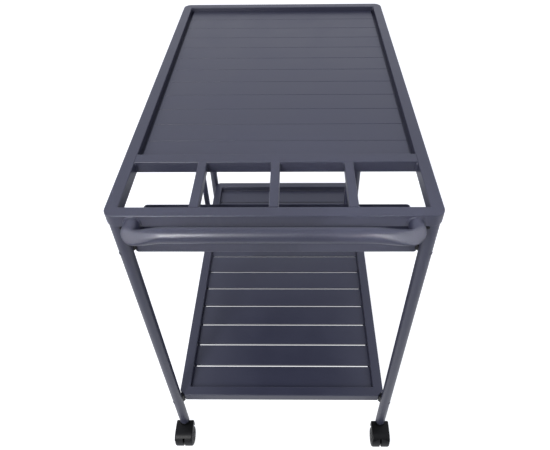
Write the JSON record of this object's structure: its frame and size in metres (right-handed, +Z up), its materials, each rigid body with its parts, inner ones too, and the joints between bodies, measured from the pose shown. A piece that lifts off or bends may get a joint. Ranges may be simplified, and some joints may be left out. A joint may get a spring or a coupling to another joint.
{
  "type": "serving cart",
  "caption": "Rectangular two-tier slatted serving cart on swivelling twin-wheel castors, with round legs, bottle bays over a tray and a tubular push handle at one end.",
  "frame": {"origin": "on the floor, under the middle of the overall box, handle included", "axes": "+X across the cart, +Y from the handle end to the far end, +Z up"},
  "size_m": [0.567, 0.911, 0.8325],
  "materials": {
    "slate_powder_coat": "satin",
    "black_nylon": "satin",
    "black_wheel_nylon": "satin",
    "zinc_plated_steel": "satin",
    "black_oxide_steel": "satin",
    "slate_painted_steel": "satin"
  },
  "bodies": {
    "frame": {"bay_divider_1": "slate_powder_coat", "bay_divider_2": "slate_powder_coat", "bay_divider_3": "slate_powder_coat", "bottle_tray": "slate_powder_coat", "castor_sockets": "black_nylon", "castor_stems": "zinc_plated_steel", "leg_front_left": "slate_powder_coat", "leg_front_right": "slate_powder_coat", "leg_rear_left": "slate_powder_coat", "leg_rear_right": "slate_powder_coat", "leg_screws": "black_oxide_steel", "leg_spigots": "slate_powder_coat", "push_handle": "slate_powder_coat", "shelf_bolts": "slate_painted_steel", "shelf_rail_front": "slate_powder_coat", "shelf_rail_left": "slate_powder_coat", "shelf_rail_rear": "slate_powder_coat", "shelf_rail_right": "slate_powder_coat", "shelf_slat_ledges": "slate_powder_coat", "shelf_slats": "slate_powder_coat", "shelf_spacers": "black_nylon", "top_crossbar": "slate_powder_coat", "top_rail_front": "slate_powder_coat", "top_rail_left": "slate_powder_coat", "top_rail_rear": "slate_powder_coat", "top_rail_right": "slate_powder_coat", "top_slat_01": "slate_powder_coat", "top_slat_02": "slate_powder_coat", "top_slat_03": "slate_powder_coat", "top_slat_04": "slate_powder_coat", "top_slat_05": "slate_powder_coat", "top_slat_06": "slate_powder_coat", "top_slat_07": "slate_powder_coat", "top_slat_08": "slate_powder_coat", "top_slat_09": "slate_powder_coat", "top_slat_10": "slate_powder_coat", "top_slat_11": "slate_powder_coat", "top_slat_12": "slate_powder_coat", "top_slat_ledges": "slate_powder_coat", "tray_bolts": "slate_painted_steel", "tray_hanger_left": "slate_powder_coat", "tray_hanger_right": "slate_powder_coat", "tray_spacers": "black_nylon"},
    "castor_front_left": {"castor_hood_front_left": "black_nylon", "castor_axle_front_left": "zinc_plated_steel"},
    "wheel_front_left_outer": {"castor_wheel_front_left_outer": "black_wheel_nylon"},
    "wheel_front_left_inner": {"castor_wheel_front_left_inner": "black_wheel_nylon"},
    "castor_front_right": {"castor_hood_front_right": "black_nylon", "castor_axle_front_right": "zinc_plated_steel"},
    "wheel_front_right_outer": {"castor_wheel_front_right_outer": "black_wheel_nylon"},
    "wheel_front_right_inner": {"castor_wheel_front_right_inner": "black_wheel_nylon"},
    "castor_rear_left": {"castor_hood_rear_left": "black_nylon", "castor_axle_rear_left": "zinc_plated_steel"},
    "wheel_rear_left_outer": {"castor_wheel_rear_left_outer": "black_wheel_nylon"},
    "wheel_rear_left_inner": {"castor_wheel_rear_left_inner": "black_wheel_nylon"},
    "castor_rear_right": {"castor_hood_rear_right": "black_nylon", "castor_axle_rear_right": "zinc_plated_steel"},
    "wheel_rear_right_outer": {"castor_wheel_rear_right_outer": "black_wheel_nylon"},
    "wheel_rear_right_inner": {"castor_wheel_rear_right_inner": "black_wheel_nylon"}
  },
  "joints": [
    {"name": "swivel_front_left", "type": "hinge", "parent": "frame", "child": "castor_front_left", "pos_m": [-0.26, -0.3955, 0.05], "axis": [0, 0, 1], "continuous": true},
    {"name": "roll_front_left_outer", "type": "hinge", "parent": "castor_front_left", "child": "wheel_front_left_outer", "pos_m": [-0.26, -0.4215, 0.025], "axis": [1, 0, 0], "continuous": true},
    {"name": "roll_front_left_inner", "type": "hinge", "parent": "castor_front_left", "child": "wheel_front_left_inner", "pos_m": [-0.26, -0.4215, 0.025], "axis": [1, 0, 0], "continuous": true},
    {"name": "swivel_front_right", "type": "hinge", "parent": "frame", "child": "castor_front_right", "pos_m": [0.26, -0.3955, 0.05], "axis": [0, 0, 1], "continuous": true},
    {"name": "roll_front_right_outer", "type": "hinge", "parent": "castor_front_right", "child": "wheel_front_right_outer", "pos_m": [0.26, -0.4215, 0.025], "axis": [1, 0, 0], "continuous": true},
    {"name": "roll_front_right_inner", "type": "hinge", "parent": "castor_front_right", "child": "wheel_front_right_inner", "pos_m": [0.26, -0.4215, 0.025], "axis": [1, 0, 0], "continuous": true},
    {"name": "swivel_rear_left", "type": "hinge", "parent": "frame", "child": "castor_rear_left", "pos_m": [-0.26, 0.4405, 0.05], "axis": [0, 0, 1], "continuous": true},
    {"name": "roll_rear_left_outer", "type": "hinge", "parent": "castor_rear_left", "child": "wheel_rear_left_outer", "pos_m": [-0.26, 0.4145, 0.025], "axis": [1, 0, 0], "continuous": true},
    {"name": "roll_rear_left_inner", "type": "hinge", "parent": "castor_rear_left", "child": "wheel_rear_left_inner", "pos_m": [-0.26, 0.4145, 0.025], "axis": [1, 0, 0], "continuous": true},
    {"name": "swivel_rear_right", "type": "hinge", "parent": "frame", "child": "castor_rear_right", "pos_m": [0.26, 0.4405, 0.05], "axis": [0, 0, 1], "continuous": true},
    {"name": "roll_rear_right_outer", "type": "hinge", "parent": "castor_rear_right", "child": "wheel_rear_right_outer", "pos_m": [0.26, 0.4145, 0.025], "axis": [1, 0, 0], "continuous": true},
    {"name": "roll_rear_right_inner", "type": "hinge", "parent": "castor_rear_right", "child": "wheel_rear_right_inner", "pos_m": [0.26, 0.4145, 0.025], "axis": [1, 0, 0], "continuous": true}
  ]
}
